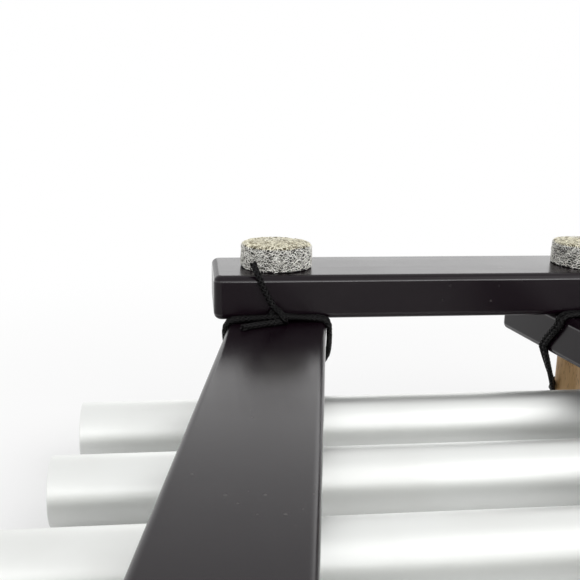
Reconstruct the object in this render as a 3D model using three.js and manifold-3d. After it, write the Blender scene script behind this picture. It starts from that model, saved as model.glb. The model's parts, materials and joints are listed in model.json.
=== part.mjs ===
// Table tube chime, shown turned over with its felt feet up.
// Two splayed rails under two crossbeams carry eight aluminium tubes on cords between wooden end posts.
// Millimetres, +Z up. X runs along the tubes, +Y points to the short (high note) end.
import * as THREE from 'three';
import { mergeVertices } from 'three/addons/utils/BufferGeometryUtils.js';
import Module from 'manifold-3d';

// Batten stock of the frame
const rail_width = 40;
const rail_thickness = 18.6;
const beam_depth = 40;
const beam_height = 18.6;
const edge_radius = 2.8;
const corner_radius = 4.5;
const beam_overhang = 6.1;
const rail_overhang = 6.8;

// Plan of the frame: rail centres at the short beam's inner face, and how far each rail splays
const rail_spacing_short = 142;
const rail_splay_deg = 9.29;

// Tubes: each is this many semitones below the first, and lengths follow the bending pitch of a free tube
const tube_od = 24;
const tube_wall = 2;
const tube_pitch = 48;
const tube_end_margin = 18.4;
const first_tube_length = 298.6;
const semitones_down = [0, 1, 5, 6, 8, 12, 13, 17];
const tube_rail_gap = 9;
const cord_hole_d = 6;

// End posts that stretch the cords
const post_d = 12;
const post_past_tubes = 5;
const post_chamfer = 1;

// Countersunk screws that hold beam, rail and post together
const screw_d = 4;
const screw_length = 45;
const screw_head_d = 8;
const screw_head_height = 2.6;
const screw_tip_length = 5;
const screw_head_sink = 0.5;
const screw_recess_d = 3;
const screw_recess_depth = 1.6;

// Felt feet over the screw heads
const foot_d = 30.5;
const foot_thickness = 10;
const foot_edge_radius = 1.2;
const foot_outset = 2.3;

// Cord: doubled through the tubes and looped round the posts, and wound twice round rail and post at each corner
const cord_d = 2.4;
const strand_pitch = 3.4;
const sling_pitch = 5;
const strand_overlap = 0.2;
const sling_turns = 2;
const sling_height = 17.8;
const sling_slant = 9;
const loop_height = 3;
const strand_gap = 0.5;
const wrap_step_deg = 30;

// Clearances and facets
const seat_gap = 0.3;
const tube_sides = 24;
const round_sides = 20;
const hole_sides = 12;
const cord_sides = 6;
const weld_tolerance = 1e-4;

// Levels and places worked out from the sizes above
const splay = THREE.MathUtils.degToRad(rail_splay_deg);
const tube_count = semitones_down.length;
const tube_level = post_past_tubes + tube_od / 2;
const rail_bottom = tube_level + tube_od / 2 + tube_rail_gap;
const rail_top = rail_bottom + rail_thickness;
const beam_top = rail_top + beam_height;
const half_span = tube_end_margin + (tube_count - 1) * tube_pitch / 2;
const half_depth = half_span + beam_depth;
const post_inset = beam_depth / 2;
const cord_radius = cord_d / 2;
const cord_offset = cord_radius + seat_gap;
const ends = { far: 1, near: -1 };
const sides = { left: -1, right: 1 };

const black_lacquer = new THREE.MeshStandardMaterial({ color: 0x1c1b1e, roughness: 0.38, metalness: 0 });
const satin_aluminium = new THREE.MeshStandardMaterial({ color: 0xd9dad8, roughness: 0.3, metalness: 1 });
const grey_felt = new THREE.MeshStandardMaterial({ color: 0xb3aea3, roughness: 1, metalness: 0 });
const black_cord = new THREE.MeshStandardMaterial({ color: 0x121214, roughness: 0.85, metalness: 0 });
const beech = new THREE.MeshStandardMaterial({ color: 0xc79a6b, roughness: 0.6, metalness: 0 });
const zinc_steel = new THREE.MeshStandardMaterial({ color: 0xb8b6ae, roughness: 0.35, metalness: 1 });

const wasm = await Module();
wasm.setup();

// Centre line of a rail, as a distance from the middle plane, where it crosses a given y
function railX(y) {
  return rail_spacing_short / 2 + (half_span - y) * Math.tan(splay);
}

function tubeLength(index) {
  return first_tube_length * 2 ** (semitones_down[index] / 24);
}

function tubeY(index) {
  return half_span - tube_end_margin - index * tube_pitch;
}

// Closed geometry to a solid for cutting and joining, and back
function toSolid(geometry) {
  const bare = geometry.clone();
  bare.deleteAttribute('normal');
  bare.deleteAttribute('uv');
  const merged = mergeVertices(bare, weld_tolerance);
  const vertProperties = merged.attributes.position.array;
  const triVerts = Uint32Array.from(merged.index.array);
  return new wasm.Manifold(new wasm.Mesh({ numProp: 3, vertProperties, triVerts }));
}

function toGeometry(solid) {
  const { vertProperties, triVerts } = solid.getMesh();
  const geometry = new THREE.BufferGeometry();
  geometry.setAttribute('position', new THREE.BufferAttribute(vertProperties, 3));
  geometry.setIndex(new THREE.BufferAttribute(triVerts, 1));
  return geometry;
}

function cut(geometry, cutters) {
  const start = toSolid(geometry);
  return toGeometry(cutters.reduce((solid, cutter) => solid.subtract(toSolid(cutter)), start));
}

// Upright solid of revolution from [radius, z] pairs that start and end on the axis
function turned(profile, segments) {
  const points = profile.map(([radius, z]) => new THREE.Vector2(radius, z));
  return new THREE.LatheGeometry(points, segments).rotateX(Math.PI / 2);
}

// Flat bar standing on z = 0, from its plan corners in order, with its corners and edges rounded
function roundedBar(corners, height) {
  const shape = new THREE.Shape();
  corners.forEach((corner, i) => {
    const before = corners[(i + corners.length - 1) % corners.length];
    const after = corners[(i + 1) % corners.length];
    const start = corner.clone().add(before.clone().sub(corner).setLength(corner_radius));
    const end = corner.clone().add(after.clone().sub(corner).setLength(corner_radius));
    if (i === 0) shape.moveTo(start.x, start.y);
    else shape.lineTo(start.x, start.y);
    shape.quadraticCurveTo(corner.x, corner.y, end.x, end.y);
  });
  shape.closePath();
  const bar = new THREE.ExtrudeGeometry(shape, {
    depth: height - 2 * edge_radius, curveSegments: 3, bevelEnabled: true, bevelSegments: 3,
    bevelThickness: edge_radius, bevelSize: edge_radius, bevelOffset: -edge_radius,
  });
  return bar.translate(0, 0, edge_radius);
}

// Countersunk screw with its tip at z = 0, grown all round by a clearance when it is used as a cutter
function screwSolid(grow) {
  const neck = screw_length - screw_head_height;
  const head_top = screw_length + (grow > 0 ? screw_head_sink + grow : 0);
  const head_radius = screw_head_d / 2 + grow;
  const profile = [
    [0, -grow], [screw_d / 8 + grow, -grow], [screw_d / 2 + grow, screw_tip_length],
    [screw_d / 2 + grow, neck - grow], [head_radius, screw_length - grow], [head_radius, head_top],
  ];
  if (grow > 0) profile.push([0, head_top]);
  else profile.push([screw_recess_d / 2, screw_length], [0, screw_length - screw_recess_depth]);
  return turned(profile, hole_sides);
}

// Doubled cord of a given length along +Y, centred on the axis
function doubledCord(length) {
  const centre = cord_radius - strand_overlap / 2;
  const waist = Math.acos(centre / cord_radius);
  const shape = new THREE.Shape();
  shape.absarc(centre, 0, cord_radius, waist - Math.PI, Math.PI - waist);
  shape.absarc(-centre, 0, cord_radius, waist, 2 * Math.PI - waist);
  const strands = new THREE.ExtrudeGeometry(shape, { depth: length, curveSegments: 5, bevelEnabled: false });
  return strands.rotateX(-Math.PI / 2);
}

// One closed round cord with a ring at every point of its path
function sweptCord(path) {
  const last = path.length - 1;
  const positions = [];
  const index = [];
  const normal = new THREE.Vector3(1, 0, 0);
  path.forEach((point, i) => {
    const tangent = path[Math.min(i + 1, last)].clone().sub(path[Math.max(i - 1, 0)]).normalize();
    normal.addScaledVector(tangent, -normal.dot(tangent)).normalize();
    const binormal = tangent.clone().cross(normal);
    for (let k = 0; k < cord_sides; k += 1) {
      const angle = 2 * Math.PI * k / cord_sides;
      const rim = point.clone().addScaledVector(normal, cord_radius * Math.cos(angle));
      rim.addScaledVector(binormal, cord_radius * Math.sin(angle));
      positions.push(rim.x, rim.y, rim.z);
      const [a, b] = [i * cord_sides + k, i * cord_sides + (k + 1) % cord_sides];
      if (i < last) index.push(a, b, a + cord_sides, b, b + cord_sides, a + cord_sides);
    }
  });
  for (let k = 1; k < cord_sides - 1; k += 1) {
    index.push(0, k + 1, k, last * cord_sides, last * cord_sides + k, last * cord_sides + k + 1);
  }
  const geometry = new THREE.BufferGeometry();
  geometry.setAttribute('position', new THREE.Float32BufferAttribute(positions, 3));
  geometry.setIndex(index);
  return geometry;
}

// Least gap between stretches of one cord that lie more than three diameters apart along it
function leastGap(path) {
  const samples = [];
  let travelled = 0;
  for (let i = 0; i < path.length - 1; i += 1) {
    const step = path[i].distanceTo(path[i + 1]);
    const parts = Math.ceil(step / cord_radius);
    for (let k = 0; k < parts; k += 1) {
      samples.push({ at: path[i].clone().lerp(path[i + 1], k / parts), travelled: travelled + step * k / parts });
    }
    travelled += step;
  }
  let least = Infinity;
  for (const a of samples) {
    for (const b of samples) {
      if (b.travelled - a.travelled > 3 * cord_d) least = Math.min(least, a.at.distanceTo(b.at) - cord_d);
    }
  }
  return least;
}

// Half a turn of cord round the back of a post, as [across, past the post's axis]
function halfTurn() {
  const step = THREE.MathUtils.degToRad(wrap_step_deg);
  const wrap = (post_d / 2 + cord_offset) / Math.cos(step / 2);
  const turns = Array.from({ length: 180 / wrap_step_deg + 1 }, (_, i) => i * step);
  return turns.map((angle) => [wrap * Math.cos(angle), wrap * Math.sin(angle)]);
}

// Points of a corner lashing as [u, v, z]: u from the rail's centre line towards the middle of the chime,
// v outwards from the beam's inner face. Each turn goes over the rail's edges and round the post's back.
function lashingRoute(end) {
  const half_width = rail_width / 2 - edge_radius;
  const reach = edge_radius + cord_offset;
  const level = rail_top + cord_offset;
  const lane = (turn) => -cord_offset - turn * strand_pitch;
  const overEdge = (side, turn) => [90, 60, 30, 0].map((degrees) => {
    const angle = THREE.MathUtils.degToRad(degrees);
    const z = rail_top - edge_radius + reach * Math.sin(angle);
    return [side * (half_width + reach * Math.cos(angle)), lane(turn), z];
  });
  const underEdge = (side, turn) => [0, -30].map((degrees) => {
    const angle = THREE.MathUtils.degToRad(degrees);
    const z = rail_bottom + edge_radius + reach * Math.sin(angle);
    return [side * (half_width + reach * Math.cos(angle)), sling_slant - turn * sling_pitch, z];
  });
  const roundPost = (turn) => halfTurn().map(([across, past_axis]) => {
    const squared = across * Math.cos(splay) - end * past_axis * Math.sin(splay);
    return [squared, post_inset + past_axis, sling_height - turn * sling_pitch];
  });
  const turnPoints = (turn) => [
    ...overEdge(1, turn), ...underEdge(1, turn), ...roundPost(turn),
    ...underEdge(-1, turn).reverse(), ...overEdge(-1, turn).reverse(),
  ];

  // First tail: from its tip beside the felt, over the beam's front edge and down to the rail
  const route = [
    [-11, 3.4, beam_top + 5], [-9, 1.6, beam_top + 2.1], [-7, -0.1, beam_top + 0.1],
    [-5.2, -cord_offset, beam_top - edge_radius], [-1, -cord_offset, rail_top + 9],
    [3, -cord_offset, rail_top + 4], [6.5, -cord_offset, level + 0.4], [10, -cord_offset, level],
  ];
  for (let turn = 0; turn < sling_turns; turn += 1) {
    route.push(...turnPoints(turn));
    route.push([-12, lane(turn), level], [-5, lane(turn + 1), level], [3, lane(turn + 1), level]);
  }
  // Second tail: a half turn on the rail's face, then back to its cut end
  const bend = { u: 6, v: lane(sling_turns + 1), radius: strand_pitch };
  for (const degrees of [90, 45, 0, -45, -90]) {
    const angle = THREE.MathUtils.degToRad(degrees);
    route.push([bend.u + bend.radius * Math.cos(angle), bend.v + bend.radius * Math.sin(angle), level]);
  }
  const tail = lane(sling_turns + 2);
  route.push([0, tail + 0.3, level], [-8, tail + 1.4, level], [-15, tail + 2.8, level]);
  return route;
}

const chime = new THREE.Group();

function addPart(name, geometry, material, position = [0, 0, 0], turn = 0) {
  const mesh = new THREE.Mesh(geometry, material);
  mesh.name = name;
  mesh.position.set(...position);
  mesh.rotation.z = turn;
  chime.add(mesh);
}

// The screw's axis at a corner of the frame, which is the post's axis too
function cornerAxis(side, end) {
  const y = end * (half_span + post_inset);
  return [side * railX(y), y];
}

function screwHole(side, end) {
  const [x, y] = cornerAxis(side, end);
  return screwSolid(seat_gap).translate(x, y, beam_top - screw_head_sink - screw_length);
}

function addRail(sideName) {
  const side = sides[sideName];
  const half_width = rail_width / 2 / Math.cos(splay);
  const corner = (edge, y) => new THREE.Vector2(side * railX(y) + edge * half_width, y);
  const reach = half_depth + rail_overhang;
  const plan = [corner(-1, -reach), corner(1, -reach), corner(1, reach), corner(-1, reach)];
  const bar = roundedBar(plan, rail_thickness).translate(0, 0, rail_bottom);
  addPart(`rail_${sideName}`, cut(bar, [screwHole(side, 1), screwHole(side, -1)]), black_lacquer);
}

function addBeam(name, end) {
  const front = Math.min(end * half_span, end * half_depth);
  const back = front + beam_depth;
  const half_length = railX(front) + rail_width / 2 / Math.cos(splay) + beam_overhang;
  const plan = [
    new THREE.Vector2(-half_length, front), new THREE.Vector2(half_length, front),
    new THREE.Vector2(half_length, back), new THREE.Vector2(-half_length, back),
  ];
  const bar = roundedBar(plan, beam_height).translate(0, 0, rail_top);
  addPart(name, cut(bar, [screwHole(-1, end), screwHole(1, end)]), black_lacquer);
}

function addPost(label, side, end) {
  const [x, y] = cornerAxis(side, end);
  const radius = post_d / 2;
  const profile = [
    [0, 0], [radius - post_chamfer, 0], [radius, post_chamfer], [radius, rail_bottom], [0, rail_bottom],
  ];
  const post = turned(profile, round_sides).translate(x, y, 0);
  addPart(`end_post_${label}`, cut(post, [screwHole(side, end)]), beech);
}

function addScrew(label, side, end) {
  const [x, y] = cornerAxis(side, end);
  const tip = beam_top - screw_head_sink - screw_length;
  addPart(`frame_screw_${label}`, screwSolid(0), zinc_steel, [x, y, tip]);
}

function addFoot(label, side, end) {
  const [x, y] = cornerAxis(side, end);
  const radius = foot_d / 2;
  const inner = radius - foot_edge_radius;
  const corner = foot_edge_radius * Math.SQRT1_2;
  const profile = [
    [0, 0], [radius, 0], [radius, foot_thickness - foot_edge_radius],
    [inner + corner, foot_thickness - foot_edge_radius + corner], [inner, foot_thickness], [0, foot_thickness],
  ];
  addPart(`felt_foot_${label}`, turned(profile, tube_sides), grey_felt, [x + side * foot_outset, y, beam_top]);
}

function addLashing(label, side, end) {
  const path = lashingRoute(end).map(([u, v, z]) => {
    const y = end * (half_span + v);
    return new THREE.Vector3(side * (railX(y) - u / Math.cos(splay)), y, z);
  });
  console.log(`lashing_${label}: least gap to itself ${leastGap(path).toFixed(2)} mm`);
  addPart(`lashing_${label}`, sweptCord(path), black_cord);
}

function addTube(index) {
  const length = tubeLength(index);
  const y = tubeY(index);
  const ring = new THREE.Shape();
  ring.absarc(0, 0, tube_od / 2, 0, 2 * Math.PI);
  const bore = new THREE.Path();
  bore.absarc(0, 0, tube_od / 2 - tube_wall, 0, 2 * Math.PI);
  ring.holes.push(bore);
  const tube = new THREE.ExtrudeGeometry(ring, {
    depth: length, curveSegments: tube_sides / 2, bevelEnabled: false,
  });
  tube.translate(0, 0, -length / 2).rotateY(Math.PI / 2);
  const holes = Object.values(sides).map((side) => {
    const hole = new THREE.CylinderGeometry(cord_hole_d / 2, cord_hole_d / 2, 2 * tube_od, hole_sides);
    return hole.rotateZ(side * splay).translate(side * railX(y), 0, 0);
  });
  addPart(`tube_${index + 1}`, cut(tube, holes), satin_aluminium, [0, y, tube_level]);
}

// Cord from the middle of an end tube round the back of the post and back, along +Y, side by side at the tube
function loopedCord(length) {
  const strand = cord_radius + strand_gap / 2;
  const near = seat_gap / 2;
  const clear = tube_od / 2 + cord_d;
  const drop = loop_height - tube_level;
  const back = halfTurn().map(([across, past_axis]) => [across, length + past_axis, drop]);
  const path = [[strand, near, 0], [strand, clear, 0], ...back, [-strand, clear, 0], [-strand, near, 0]];
  return sweptCord(path.map((point) => new THREE.Vector3(...point)));
}

function addSuspension(sideName) {
  const side = sides[sideName];
  const along = 1 / Math.cos(splay);
  const rows = semitones_down.map((_, index) => tubeY(index));
  const post_y = half_span + post_inset;
  const addStretch = (number, y, geometry, turn) => {
    addPart(`cord_${sideName}_${number}`, geometry, black_cord, [side * railX(y), y, tube_level], turn);
  };
  addStretch(1, rows[0], loopedCord((post_y - rows[0]) * along), side * splay);
  for (let i = 1; i < tube_count; i += 1) {
    const length = (rows[i - 1] - rows[i]) * along - seat_gap;
    addStretch(i + 1, rows[i], doubledCord(length).translate(0, seat_gap / 2, 0), side * splay);
  }
  const final = rows[tube_count - 1];
  addStretch(tube_count + 1, final, loopedCord((final + post_y) * along), side * splay + Math.PI);
}

Object.keys(sides).forEach(addRail);
addBeam('crossbeam_short', ends.far);
addBeam('crossbeam_long', ends.near);
for (const [endName, end] of Object.entries(ends)) {
  for (const [sideName, side] of Object.entries(sides)) {
    const label = `${endName}_${sideName}`;
    addPost(label, side, end);
    addScrew(label, side, end);
    addFoot(label, side, end);
    addLashing(label, side, end);
  }
}
semitones_down.forEach((_, index) => addTube(index));
Object.keys(sides).forEach(addSuspension);

export default chime;
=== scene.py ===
"""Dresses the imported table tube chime: lacquered battens, satin tubes, felt feet and braided cord.

The chime is shown turned over, felt feet up, as it lies in the photograph. Lengths are metres in the
frame's own axes: X along the tubes, +Y to the short crossbeam, +Z up.
"""
from __future__ import annotations

import json
import logging
import math
from dataclasses import dataclass
from enum import Enum
from typing import Any, Iterable, Sequence

import bpy
from mathutils import Matrix, Vector, noise
from mathutils.geometry import tessellate_polygon

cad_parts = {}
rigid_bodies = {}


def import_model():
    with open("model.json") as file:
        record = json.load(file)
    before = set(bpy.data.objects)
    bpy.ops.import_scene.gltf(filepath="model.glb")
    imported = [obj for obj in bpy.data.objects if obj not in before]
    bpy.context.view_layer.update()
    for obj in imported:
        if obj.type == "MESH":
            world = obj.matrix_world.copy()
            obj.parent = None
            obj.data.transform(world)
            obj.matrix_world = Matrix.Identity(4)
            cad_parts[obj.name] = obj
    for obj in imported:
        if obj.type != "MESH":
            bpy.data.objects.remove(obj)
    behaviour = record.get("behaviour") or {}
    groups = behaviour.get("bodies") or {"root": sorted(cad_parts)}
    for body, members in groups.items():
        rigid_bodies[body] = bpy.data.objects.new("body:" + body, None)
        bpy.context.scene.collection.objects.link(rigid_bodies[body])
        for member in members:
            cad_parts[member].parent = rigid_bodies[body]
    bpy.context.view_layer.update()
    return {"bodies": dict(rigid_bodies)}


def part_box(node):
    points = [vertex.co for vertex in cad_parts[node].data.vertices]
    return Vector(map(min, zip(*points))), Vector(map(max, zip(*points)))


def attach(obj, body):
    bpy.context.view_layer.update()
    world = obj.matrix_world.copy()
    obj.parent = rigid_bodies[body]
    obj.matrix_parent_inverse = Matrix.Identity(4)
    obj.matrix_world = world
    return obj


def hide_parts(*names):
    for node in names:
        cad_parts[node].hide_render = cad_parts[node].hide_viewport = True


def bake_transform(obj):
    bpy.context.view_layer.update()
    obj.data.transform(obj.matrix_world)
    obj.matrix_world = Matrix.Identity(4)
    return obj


LOG = logging.getLogger("tube_chime")
MM = 0.001
RIGHT_ANGLE = math.pi / 2
UP = Vector((0, 0, 1))
POOLED = "pooled"
STRAND_TONE = "strand_tone"
Colour = tuple[float, float, float]
Span = tuple[float, float]
Triple = tuple[float, float, float]


class Named(Enum):
    """A choice whose word stands in names."""

    @property
    def word(self) -> str:
        """The choice in lower case."""
        return self.name.lower()


class Side(Named):
    """Left or right rail, as the sign of its x."""

    LEFT = -1
    RIGHT = 1


class End(Named):
    """Short (far) or long (near) end of the frame, as the sign of its y."""

    FAR = 1
    NEAR = -1


class Axis(Named):
    """Direction that a wood grain runs in, as its number."""

    X = 0
    Y = 1


CORNERS = [(end, side) for end in End for side in Side]


def at_corner(stem: str, end: End, side: Side) -> str:
    """The name of a node at one corner of the frame."""
    return f"{stem}_{end.word}_{side.word}"


def spaced(sockets: dict) -> dict:
    """Socket names with spaces for underscores."""
    return {name.replace("_", " "): value for name, value in sockets.items()}


def opaque(value: Any) -> Any:
    """A plain colour with its alpha, and anything else as it is."""
    return (*value, 1.0) if isinstance(value, tuple) else value


@dataclass(frozen=True)
class Signal:
    """A node socket that takes part in arithmetic."""

    board: NodeBoard
    socket: Any

    def call(self, operation: str, other: Any = None, swapped: bool = False) -> Signal:
        """Adds a Math node.

        Args:
            operation: the node's operation.
            other: a signal or a number, or None where the operation takes one value.
            swapped: True where the other value comes first.

        Returns:
            The node's result.
        """
        values = [self] if other is None else [other, self] if swapped else [self, other]
        node = self.board.make("ShaderNodeMath", {"operation": operation}, dict(enumerate(values)))
        return self.board.out(node)

    def __add__(self, other: Any) -> Signal:
        """Sum."""
        return self.call("ADD", other)

    __radd__ = __add__

    def __sub__(self, other: Any) -> Signal:
        """Difference."""
        return self.call("SUBTRACT", other)

    def __rsub__(self, other: Any) -> Signal:
        """Difference from a number."""
        return self.call("SUBTRACT", other, True)

    def __mul__(self, other: Any) -> Signal:
        """Product."""
        return self.call("MULTIPLY", other)

    def __truediv__(self, other: Any) -> Signal:
        """Quotient."""
        return self.call("DIVIDE", other)

    def ramp(self, low: float, high: float) -> Signal:
        """0 below low, 1 above high and a smooth step between."""
        smooth = {"interpolation_type": "SMOOTHSTEP"}
        return self.board.out(self.board.make("ShaderNodeMapRange", smooth, {0: self, 1: low, 2: high}))


class NodeBoard:
    """One node tree, with a single way to add any node to it."""

    def __init__(self, tree: Any) -> None:
        """Keeps the tree."""
        self.tree = tree

    def make(self, kind: str, settings: dict | None = None, sockets: dict | None = None) -> Any:
        """Adds a node.

        Args:
            kind: the node's type.
            settings: its properties, set before its sockets.
            sockets: values or signals by socket name or number.

        Returns:
            The node.
        """
        node = self.tree.nodes.new(kind)
        for name, value in (settings or {}).items():
            setattr(node, name, value)
        self.feed(node, sockets or {})
        return node

    def feed(self, node: Any, sockets: dict) -> None:
        """Links signals to a node's inputs and sets plain values on them.

        Args:
            node: the node.
            sockets: values or signals by socket name or number.
        """
        for key, value in sockets.items():
            if isinstance(value, Signal):
                self.tree.links.new(value.socket, node.inputs[key])
            else:
                node.inputs[key].default_value = value

    def out(self, node: Any, key: Any = 0) -> Signal:
        """A node's output as a signal."""
        return Signal(self, node.outputs[key])

    def vector(self, operation: str, sockets: dict, key: Any = 0) -> Signal:
        """The output of a Vector Math node."""
        return self.out(self.make("ShaderNodeVectorMath", {"operation": operation}, sockets), key)

    def axis(self, vector: Signal, name: str) -> Signal:
        """One coordinate of a vector."""
        return self.out(self.make("ShaderNodeSeparateXYZ", None, {0: vector}), name)

    def rays(self) -> tuple[Signal, Signal]:
        """Tells the rays that arrive apart.

        Returns:
            A signal that is 1 for a camera ray, and one that is 1 for a mirrored or refracted ray.
        """
        path = self.make("ShaderNodeLightPath")
        mirrored = self.out(path, "Is Glossy Ray").call("MAXIMUM", self.out(path, "Is Transmission Ray"))
        return self.out(path, "Is Camera Ray"), mirrored


class ShaderBoard(NodeBoard):
    """A material's node tree, with its main shader and the object's own coordinates."""

    def __init__(self, name: str) -> None:
        """Makes the material and its shader.

        Args:
            name: the material's name.
        """
        self.material = bpy.data.materials.new(name)
        self.material.use_nodes = True
        super().__init__(self.material.node_tree)
        self.tree.nodes.clear()
        self.shader = self.make("ShaderNodeBsdfPrincipled")
        self.output = self.make("ShaderNodeOutputMaterial", None, {"Surface": self.out(self.shader)})
        self.place = self.out(self.make("ShaderNodeTexCoord"), "Object")

    def pattern(self, scale: Any) -> dict:
        """Sockets that place a pattern.

        Args:
            scale: repeats in a metre, as one number or as three, one for each axis.

        Returns:
            Its coordinates and scale by socket name.
        """
        if not isinstance(scale, tuple):
            return {"Vector": self.place, "Scale": scale}
        stretched = self.make("ShaderNodeMapping", None, {"Vector": self.place, "Scale": scale})
        return {"Vector": self.out(stretched), "Scale": 1.0}

    def noise(self, scale: Any, detail: float = 2.0, rough: float = 0.5) -> Signal:
        """Noise from 0 to 1, with so many octaves and so much weight on the finer ones."""
        sockets = {**self.pattern(scale), "Detail": detail, "Roughness": rough}
        return self.out(self.make("ShaderNodeTexNoise", None, sockets))

    def cells(self, scale: Any) -> Signal:
        """Distance to the nearest of scattered points."""
        return self.out(self.make("ShaderNodeTexVoronoi", None, self.pattern(scale)), "Distance")

    def attribute(self, name: str) -> Signal:
        """An attribute of the mesh."""
        return self.out(self.make("ShaderNodeAttribute", {"attribute_name": name}), "Fac")

    def blend(self, factor: Any, first: Any, second: Any) -> Signal:
        """The first colour where the factor is 0, the second where it is 1."""
        sockets = {0: factor, 6: opaque(first), 7: opaque(second)}
        return self.out(self.make("ShaderNodeMix", {"data_type": "RGBA"}, sockets), 2)

    def bump(self, height: Signal, strength: float, depth: float, under: Signal | None = None) -> Signal:
        """A bumped normal.

        Args:
            height: the bump's height signal.
            strength: its share.
            depth: its depth in metres.
            under: a normal to bump further.

        Returns:
            The normal.
        """
        sockets: dict = {"Strength": strength, "Distance": depth, "Height": height}
        if under is not None:
            sockets["Normal"] = under
        return self.out(self.make("ShaderNodeBump", None, sockets))

    def finish(self, **sockets: Any) -> Any:
        """Feeds the main shader by socket name, with underscores for spaces, and returns the material."""
        self.feed(self.shader, {name: opaque(value) for name, value in spaced(sockets).items()})
        return self.material


@dataclass(frozen=True)
class BlackLacquer:
    """Satin black lacquer over wood: faint grain, orange peel, a little dust, glossier where it pooled."""

    grain: Axis
    ior: float = 1.38
    roughness: float = 0.24
    coat_roughness: float = 0.1
    colour: Colour = (0.0050, 0.0014, 0.0040)
    worn: Colour = (0.0074, 0.0036, 0.0062)
    dust: Colour = (0.20, 0.19, 0.18)
    across_grain: float = 420.0
    along_grain: float = 9.0
    peel_scale: float = 1100.0
    rub_scale: float = 38.0
    dust_scale: float = 190.0
    dust_size: float = 0.12
    dust_patches: float = 23.0
    peel_depth: float = 0.06 * MM
    grain_depth: float = 0.05 * MM

    def material(self) -> Any:
        """Builds the material.

        Returns:
            The material.
        """
        board = ShaderBoard(f"black_lacquer_{self.grain.word}")
        scale = [self.across_grain] * 3
        scale[self.grain.value] = self.along_grain
        grain = board.noise(tuple(scale), 4.0, 0.6)
        rubs = board.noise(self.rub_scale, 4.0)
        specks = (self.dust_size - board.cells(self.dust_scale)).ramp(0.0, 0.06)
        specks = specks * board.noise(self.dust_patches, 1.0).ramp(0.55, 0.68)
        colour = board.blend(rubs.ramp(0.42, 0.75), self.colour, self.worn)
        colour = board.blend(specks * 0.4, colour, self.dust)
        pooled = board.attribute(POOLED)
        rough = self.roughness + (rubs - 0.5) * 0.10 + (grain - 0.5) * 0.06 + specks * 0.3
        rough = rough * (1.0 - pooled * 0.5)
        normal = board.bump(board.noise(self.peel_scale), 0.22, self.peel_depth)
        normal = board.bump(grain, 0.10, self.grain_depth, normal)
        return board.finish(Base_Color=colour, Roughness=rough, Normal=normal, IOR=self.ior,
                            Coat_Weight=pooled, Coat_Roughness=self.coat_roughness)


@dataclass(frozen=True)
class SatinAluminium:
    """Drawn aluminium with a satin skin: fine lines along the tube and soft handling marks."""

    colour: Colour = (0.884, 0.896, 0.878)
    cloudy: Colour = (0.854, 0.863, 0.843)
    roughness: float = 0.48
    line_scale: Triple = (6.0, 2600.0, 2600.0)
    cloud_scale: float = 26.0
    grit_scale: float = 1900.0
    line_depth: float = 0.012 * MM
    grit_depth: float = 0.010 * MM

    def material(self) -> Any:
        """Builds the material.

        Returns:
            The material.
        """
        board = ShaderBoard("satin_aluminium")
        drawn = board.noise(self.line_scale, 3.0, 0.6)
        clouds = board.noise(self.cloud_scale, 4.0)
        colour = board.blend(clouds.ramp(0.40, 0.72), self.colour, self.cloudy)
        rough = self.roughness + (drawn - 0.5) * 0.12 + (clouds - 0.5) * 0.10
        normal = board.bump(drawn, 0.10, self.line_depth)
        normal = board.bump(board.noise(self.grit_scale), 0.10, self.grit_depth, normal)
        return board.finish(Base_Color=colour, Metallic=1.0, Roughness=rough, Normal=normal)


@dataclass(frozen=True)
class WoolFelt:
    """Coarse grey wool felt: pale matted strands over a dark body, and a yellowed, trodden top."""

    top_level: float
    pale: Colour = (0.95, 0.94, 0.89)
    dull: Colour = (0.56, 0.55, 0.50)
    body: Colour = (0.030, 0.028, 0.025)
    trodden_body: Colour = (0.12, 0.10, 0.055)
    yellowed: Colour = (0.97, 0.93, 0.74)
    browned: Colour = (0.24, 0.20, 0.11)
    roughness: float = 0.92
    fibre_scale: float = 2600.0
    tuft_scale: float = 330.0
    drift_scale: float = 95.0
    fibre_depth: float = 0.08 * MM

    def material(self) -> Any:
        """Builds the material.

        Returns:
            The material.
        """
        board = ShaderBoard("grey_wool_felt")
        tone = board.attribute(STRAND_TONE)
        fibre = board.noise(self.fibre_scale)
        tufts = board.noise(self.tuft_scale, 3.0)
        drift = board.noise(self.drift_scale)
        above = (board.axis(board.place, "Z") - self.top_level) / MM
        trodden = (above + drift * 1.2).ramp(-0.1, 0.8)
        strand = board.blend(tone.ramp(0.2, 0.8) * 0.95 + (fibre - 0.5) * 0.5, self.dull, self.pale)
        aged = board.blend(tone.ramp(0.25, 0.65) * 0.95 + (drift - 0.4) * 0.3, self.browned, self.yellowed)
        strand = board.blend(trodden * (0.55 + drift * 0.7), strand, aged)
        body = board.blend(tufts.ramp(0.45, 0.75) * 0.35, self.body, self.dull)
        body = board.blend(trodden * 0.9, body, self.trodden_body)
        colour = board.blend(tone.ramp(0.0, 0.1), body, strand)
        normal = board.bump(fibre, 0.5, self.fibre_depth)
        rough = self.roughness + (tufts - 0.5) * 0.1
        return board.finish(Base_Color=colour, Roughness=rough, Normal=normal, Specular_IOR_Level=0.12,
                            Sheen_Weight=0.15, Sheen_Roughness=0.5)


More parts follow.
